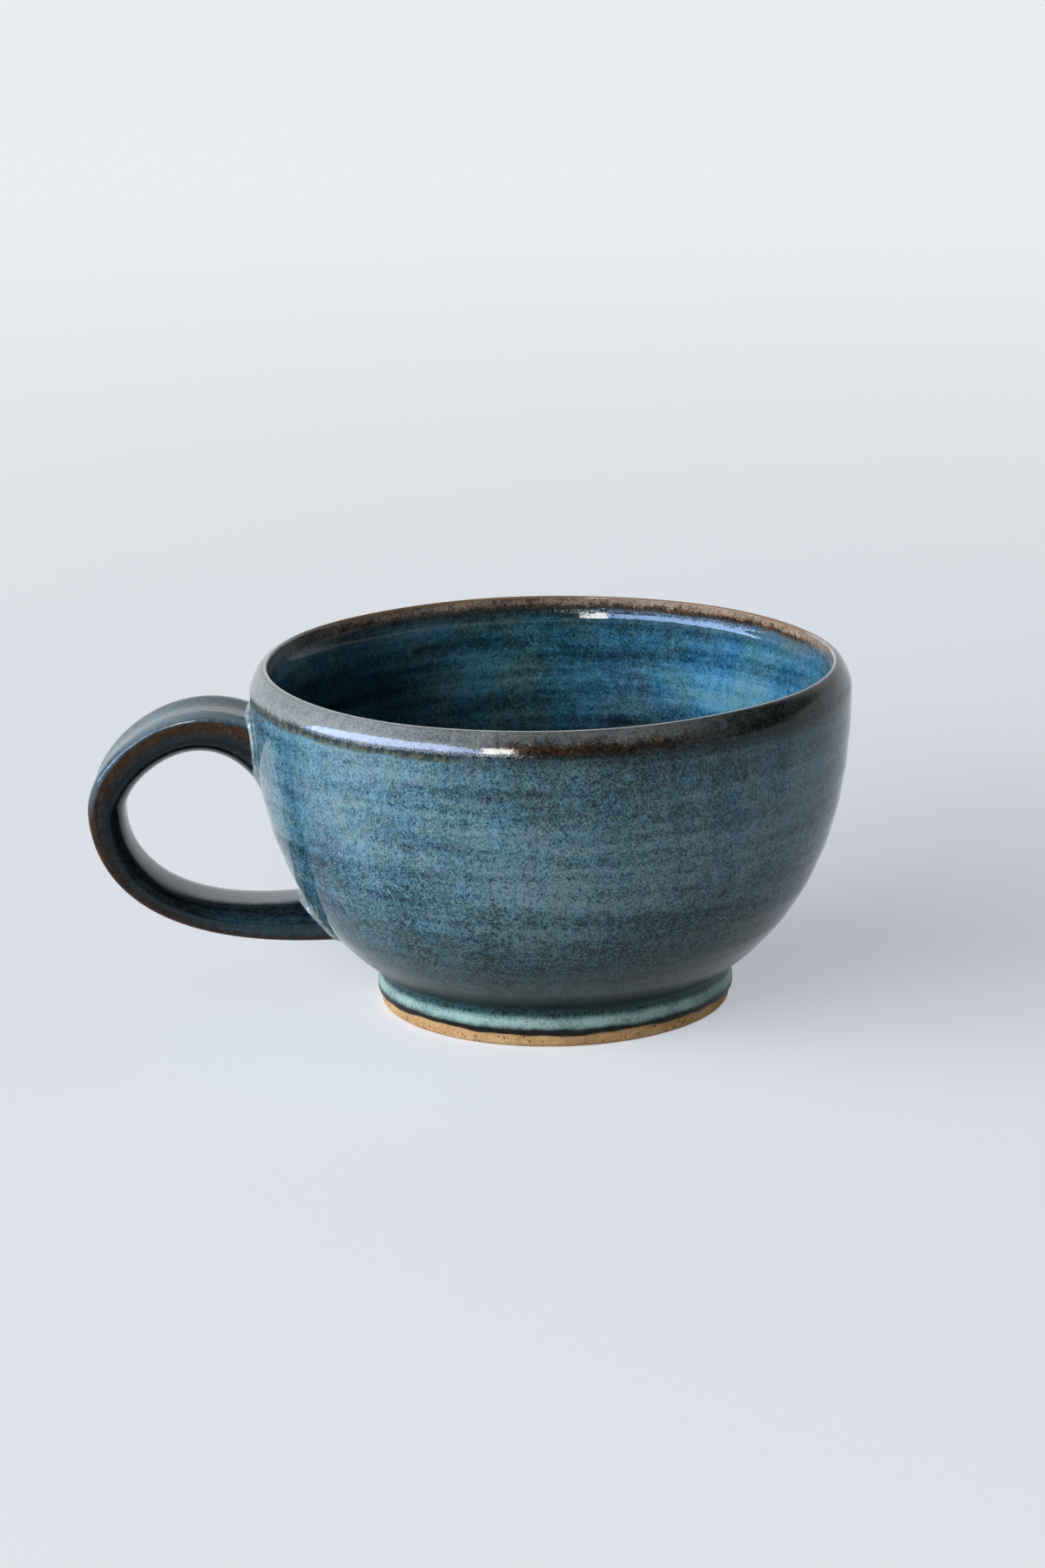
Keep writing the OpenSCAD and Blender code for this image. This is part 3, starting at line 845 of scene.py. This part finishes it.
def paintStrap(finish):
    look = strapLook
    here, _ = finish.place()
    along, across, outward = (finish.given(key) for key in ("along", "across", "outward"))
    aside = finish.math("ABSOLUTE", across)
    lengthwise, crosswise = look["streaks"]
    streak = finish.join(along * lengthwise, across * crosswise, outward * crosswise)
    streak = finish.noise(streak, 1, 3, 0.6) - 0.5
    grain = finish.noise(here, look["grain"], 3, 0.6)
    blotch = finish.noise(here, look["blotch"], 2)
    wander = (finish.noise(here, look["wander"], 3) - 0.5) * look["wanderPull"]
    tone = 0.5 + look["grainPull"] * (grain - 0.5) + look["blotchPull"] * (blotch - 0.5)
    tone = tone + look["streakPull"] * streak
    side = finish.ramp(tone, [(0.25, look["ink"]), (0.55, look["night"]), (0.9, look["slate"])])
    end = finish.ramp(tone, [(0.15, look["night"]), (0.45, look["teal"]), (0.9, look["dusk"])])
    # face: blue-grey glaze with a painted reflection of the pale room
    face = finish.ramp(tone, [(0.15, look["dusk"]), (0.8, look["mist"])])
    brown = finish.ramp(tone, [(0.2, look["rust"]), (0.8, look["umber"])])
    lowest = finish.within(along, *look["tealAlong"]) * finish.band(outward, *look["tealOut"])
    side = finish.blend(lowest * look["tealShare"], side, end)
    rib = finish.band(outward + streak * look["ribStreak"], *look["ribOut"])
    rib = rib * (look["ribShare"] - look["ribFade"] * finish.within(along, *look["ribGap"]))
    side = finish.blend(rib, side, look["slate"])
    # on the upper half the grey, partly a painted reflection, runs over the edge with brown under it, on the
    # lower half the edge is brown
    upper = 1 - finish.ease(along + wander * look["upperWander"], *look["upperTo"])
    edge = outward + wander * look["edgeWander"] + look["edgeDrop"] * (1 - upper)
    edge = finish.ease(edge, *look["edgeOut"])
    under = finish.within(outward + wander * look["brownWander"], *look["brownOut"])
    colour = finish.blend(under * (look["brownLow"] + (1 - look["brownLow"]) * upper), side, brown)
    fleck = finish.ease(finish.noise(here, look["fleck"], 3, 0.7), *look["fleckFrom"])
    near = look["amberLow"] + (1 - look["amberLow"]) * (1 - finish.ease(along, *look["amberTo"]))
    colour = finish.blend(under * fleck * near * look["amberShare"], colour, look["amber"])
    colour = finish.blend(edge, colour, finish.blend(upper, brown, face))
    top = (1 - finish.ease(aside, *look["faceTo"])) * finish.ease(outward, *look["faceOut"])
    colour = finish.blend(top, colour, face)
    # painted reflection: a pale grey line on the outer ridge of the upper half
    ridgeSheen = finish.band(outward, *look["ridgeOut"]) * finish.ease(aside, *look["ridgeFrom"])
    ridgeSheen = ridgeSheen * (1 - finish.ease(along, *look["ridgeTo"]))
    colour = finish.blend(ridgeSheen * look["ridgeShare"], colour, look["ridgeSheen"])
    # painted reflection of the pale room: paler on the inside of the lower half
    inside = 1 - finish.ease(outward + wander * look["insideWander"], *look["insideTo"])
    inside = inside * finish.ease(along, *look["hazeFrom"])
    return {
        "Base Color": finish.blend(inside * look["hazeShare"], colour, look["innerSheen"]),
        "Roughness": look["rough"] + look["roughPull"] * blotch,
        "height": dimpled(finish, here, grain),
    }


def makeStrap():
    around = np.linspace(0, 2 * math.pi, 112, endpoint=False)
    rows = np.linspace(0, 1, 220)[:, None]
    points, skins, faces = [], [], []
    for g in (0, -strap["glaze"]):
        first, last = (meetWall(around, g, -strap["intoWall"], end) for end in ("upper", "lower"))
        u = first + (last - first) * rows
        skins.append(len(points) + np.arange(u.size).reshape(u.shape))
        points.extend(strapPoint(u, around, g).reshape(-1, 3).tolist())
    for skin in skins:
        beside = np.roll(skin, -1, axis=1)
        quads = np.stack([skin[:-1], beside[:-1], beside[1:], skin[1:]], axis=-1)
        faces.extend(quads.reshape(-1, 4).tolist())
    for row in (0, -1):
        outer, inner = (skin[row] for skin in skins)
        faces.extend(np.stack([outer, np.roll(outer, -1), np.roll(inner, -1), inner], axis=-1).tolist())
    across, outward = strapShares(around)
    count = 2 * len(rows)
    attributes = {
        "along": np.tile(np.repeat(rows[:, 0], len(around)), 2),
        "across": np.tile(across, count),
        "outward": np.tile(outward, count),
    }
    piece = makeMesh("strap_glaze_coat", points, faces, attributes)
    seat(piece, "handle_glaze", makeFinish("dark_strap_glaze", paintStrap, strapLook["skin"]))


makeStrap()
print("strap pulled")


# Beads: glaze pooled in the corners between the strap and the wall
bead = {
    "upperInside": 1.5, "upperOutside": 0.5, "lowerInside": 0.2, "lowerOutside": 0.3, "sway": 0.05,
    "under": 0.14, "corner": 0.05, "wallTuck": 0.5, "rootTuck": 0.6, "strapTuck": 0.4, "step": 0.002,
    "pool": (0.5, 0.55, 0.54), "milk": (0.14, 0.22, 0.25), "deep": (0.03, 0.075, 0.105), "deepShare": 0.5,
    # from the wall, 0, up to the strap, 1
    "deepAt": (0.3, 0.14), "poolFrom": (0.42, 0.54), "blotchPull": 0.14,
    # how much of it is pooled: more on top of the upper bead, less where the two beads face each other
    "poolShare": 0.6, "full": 0.4, "fullHeight": (44, 50), "thin": 0.4, "thinHeight": (24, 44, 3),
    "cream": 1.1, "creamPull": 1.2,
    "rough": 0.06, "roughPull": 0.08, "skin": {"IOR": 1.5},
}


def paintBead(finish):
    part, wall = wallColour(finish)
    share = finish.given("share") + (part["blotch"] - 0.5) * bead["blotchPull"]
    cream = part["tone"] + bead["creamPull"] * (finish.noise(part["here"], bead["cream"], 2) - 0.5)
    pool = finish.ramp(cream, [(0.3, bead["milk"]), (0.85, bead["pool"])])
    colour = finish.blend(finish.band(share, *bead["deepAt"]) * bead["deepShare"], wall, bead["deep"])
    fade = bead["poolShare"] + bead["full"] * finish.ease(part["z"], *bead["fullHeight"])
    fade = fade - bead["thin"] * finish.within(part["z"], *bead["thinHeight"])
    pooled = finish.ease(share, *bead["poolFrom"]) * fade
    return {
        "Base Color": finish.blend(pooled, colour, pool),
        "Roughness": bead["rough"] + bead["roughPull"] * part["blotch"],
        "height": part["grain"] * shine["grainDepth"],
    }


beadFinish = makeFinish("pooled_pale_glaze", paintBead, bead["skin"])


def onWall(p, depth):
    # the point moved level, straight out or in, to the depth under the wall
    turn = np.arctan2(p[:, 1], p[:, 0])
    r, z = thrownOutside(sideRadius(p[:, 2]), p[:, 2], turn)[0] - depth, p[:, 2]
    return np.c_[r * np.cos(turn), r * np.sin(turn), z]


def makeBead(end, node):
    # a hollow fillet swept along the seam between the strap and the wall, its edges tucked under both
    under, count = bead["under"], 240
    around = np.linspace(0, 2 * math.pi, count, endpoint=False)
    inside, outside = (np.maximum(0, sign * np.sin(around)) ** 2 for sign in (-1, 1))
    swell = bead[end + "Inside"] * inside + bead[end + "Outside"] * outside
    size = strap[end + "Bead"] * (1 + swell + bead["sway"] * np.sin(3 * around + 0.5))
    u = meetWall(around, 0, 0, end)
    seam = strapPoint(u, around, 0)
    step = np.full(count, bead["step"] if end == "upper" else -bead["step"])
    stride = np.linalg.norm(strapPoint(u + step, around, 0) - seam, axis=1)
    onStrap = u + step * size / stride
    run = unit(np.roll(seam, -1, axis=0) - np.roll(seam, 1, axis=0))
    wallOut = unit(seam - onWall(seam, 1) + [0, 0, -0.01])
    away = unit(np.cross(wallOut, run))
    away *= np.sign(np.sum(away * (seam - seam.mean(axis=0)), axis=1))[:, None]
    strapEdge, wallEdge = strapPoint(onStrap, around, -under), onWall(seam + size[:, None] * away, under)
    corner = seam + bead["corner"] * wallOut
    t = np.linspace(0, 1, 15)[:, None, None]
    rows = list(strapEdge * (1 - t) ** 2 + 2 * corner * t * (1 - t) + wallEdge * t ** 2)
    rows += [
        onWall(wallEdge, under + bead["wallTuck"]),
        onWall(strapPoint(u, around, -bead["rootTuck"]), bead["rootTuck"]),
        strapPoint(onStrap, around, -under - bead["strapTuck"]),
    ]
    share = np.r_[1 - t[:, 0, 0], 0, 0.5, 1]
    points = np.stack(rows, axis=1)
    index = np.arange(points.shape[0] * points.shape[1]).reshape(points.shape[:2])
    beside, ahead = np.roll(index, -1, axis=0), np.roll(index, -1, axis=1)
    faces = np.stack([index, beside, np.roll(beside, -1, axis=1), ahead], axis=-1).reshape(-1, 4).tolist()
    piece = makeMesh(end + "_bead", points.reshape(-1, 3), faces, {"share": np.tile(share, count)})
    seat(piece, node, beadFinish)


makeBead("upper", "upper_fillet")
makeBead("lower", "lower_fillet")
print("beads pooled")


# Studio: a wide low light at the left, a pale room that is dim behind the camera, and a pale floor
studio = {
    "room": (0.84, 0.87, 0.91), "behind": (0.1, 0.1, 0.105), "behindTo": (0.4, 0.75), "levelTo": (0.16, 0.26),
    "above": (0.16, 0.165, 0.175), "aboveFrom": (0.6, 0.78), "dim": (0.04, 0.041, 0.043),
    "floor": (0.28, 0.275, 0.27), "floorSize": 8, "floorRough": 0.9, "floorSheen": 0.1, "fade": (0, 1.2),
    "nearCloth": (0.68, 0.67, 0.66), "farCloth": (0.03, 0.03, 0.03),
    "nearGlow": (0.39, 0.415, 0.46), "farGlow": (0.81, 0.84, 0.875), "lampAim": 0.04,
}
# lamps by the way they lie from the cup: turn to the left of the camera, height angle, distance and size in
# metres, and the kind of ray that doesn't see them
lamps = {
    "side_light": {
        "turn": 61, "up": 20, "roll": 0, "away": 4, "size": (7.3, 1.4), "shape": "RECTANGLE",
        "power": 290, "tint": (0.93, 0.97, 1), "hide": "glossy",
    },
    "lip_sheen": {
        "turn": 66, "up": 24, "roll": 13.6, "away": 0.82, "size": (1.25, 0.1), "shape": "ELLIPSE",
        "power": 10.5, "tint": (0.42, 0.58, 1), "hide": "diffuse",
    },
    "fill": {
        "turn": -95, "up": 4, "roll": 0, "away": 2.2, "size": (1.6, 0.3), "shape": "RECTANGLE",
        "power": 10, "tint": (0.95, 0.97, 1), "hide": "glossy",
    },
    "lip_glint": {
        "turn": 21, "up": 27.5, "roll": 0, "away": 0.85, "size": (0.15, 0.1), "shape": "RECTANGLE",
        "power": 2.4, "tint": (1, 0.97, 0.92), "hide": "diffuse",
    },
}


def seenRay(finish):
    # 1 on what is seen, straight or in the glaze, and 0 on light that bounces
    kinds = ("Is Camera Ray", "Is Glossy Ray", "Is Transmission Ray")
    straight, mirrored, through = (finish.add("ShaderNodeLightPath", {}, {}, kind) for kind in kinds)
    return finish.math("MAXIMUM", finish.math("MAXIMUM", straight, mirrored), through)


def setRoom():
    world = bpy.data.worlds.new("room")
    bpy.context.scene.world = world
    world.use_nodes = True
    room = Finish(world.node_tree)
    aim = room.add("ShaderNodeTexCoord", {}, {}, 0)
    back, up = (room.add("ShaderNodeSeparateXYZ", {}, {0: aim}, i) for i in (1, 2))
    around = room.blend(room.ease(back, *studio["behindTo"]), studio["behind"], studio["room"])
    around = room.blend(room.ease(up, *studio["aboveFrom"]), around, studio["above"])
    around = room.blend(room.ease(up, *studio["levelTo"]), studio["room"], around)
    colour = room.blend(seenRay(room), studio["dim"], around)
    room.feed(room.tree.nodes["Background"].inputs["Color"], colour)


def setLamp(name, look):
    lamp = bpy.data.lights.new(name, "AREA")
    lamp.energy, lamp.color, lamp.shape = look["power"], look["tint"], look["shape"]
    lamp.size, lamp.size_y = look["size"]
    light = bpy.data.objects.new(name, lamp)
    light.visible_camera = False
    light.visible_glossy = look["hide"] != "glossy"
    light.visible_diffuse = look["hide"] != "diffuse"
    bpy.context.scene.collection.objects.link(light)
    turn, up = math.radians(look["turn"]), math.radians(look["up"])
    away = Vector((-math.sin(turn) * math.cos(up), -math.cos(turn) * math.cos(up), math.sin(up)))
    face = (-away).to_track_quat("-Z", "Y").to_matrix()
    face = face @ Matrix.Rotation(math.radians(look["roll"]), 3, "Z")
    place = away * look["away"] + Vector((0, 0, studio["lampAim"]))
    light.matrix_world = Matrix.Translation(place) @ face.to_4x4()


def setFloor():
    bpy.ops.mesh.primitive_plane_add(size=studio["floorSize"])
    floor = bpy.context.object
    floor.name = "floor"
    material = bpy.data.materials.new("pale_floor")
    material.use_nodes = True
    ground = Finish(material.node_tree)
    skin = ground.tree.nodes["Principled BSDF"]
    sockets = {"Base Color": "floor", "Roughness": "floorRough", "Specular IOR Level": "floorSheen"}
    for key, value in sockets.items():
        ground.feed(skin.inputs[key], studio[value])
    # where it is seen, the floor is a cloth with its own glow, which takes over with the distance
    here = ground.add("ShaderNodeTexCoord", {}, {}, 3)
    reach = ground.add("ShaderNodeVectorMath", {"operation": "LENGTH"}, {0: here}, 1)
    share = ground.ease(reach, *studio["fade"])
    cloth = ground.blend(share, studio["nearCloth"], studio["farCloth"])
    glow = ground.blend(share, studio["nearGlow"], studio["farGlow"])
    cloth = ground.add("ShaderNodeBsdfDiffuse", {}, {"Color": cloth})
    glow = ground.add("ShaderNodeEmission", {}, {"Color": glow})
    seen = ground.add("ShaderNodeAddShader", {}, {0: cloth, 1: glow})
    plain = Wire(ground, skin.outputs[0])
    both = ground.add("ShaderNodeMixShader", {}, {0: seenRay(ground), 1: plain, 2: seen})
    ground.feed(ground.tree.nodes["Material Output"].inputs["Surface"], both)
    floor.data.materials.append(material)


setRoom()
for name, look in lamps.items():
    setLamp(name, look)
setFloor()
bpy.context.scene.view_settings.view_transform = "Standard"
print("studio lit")
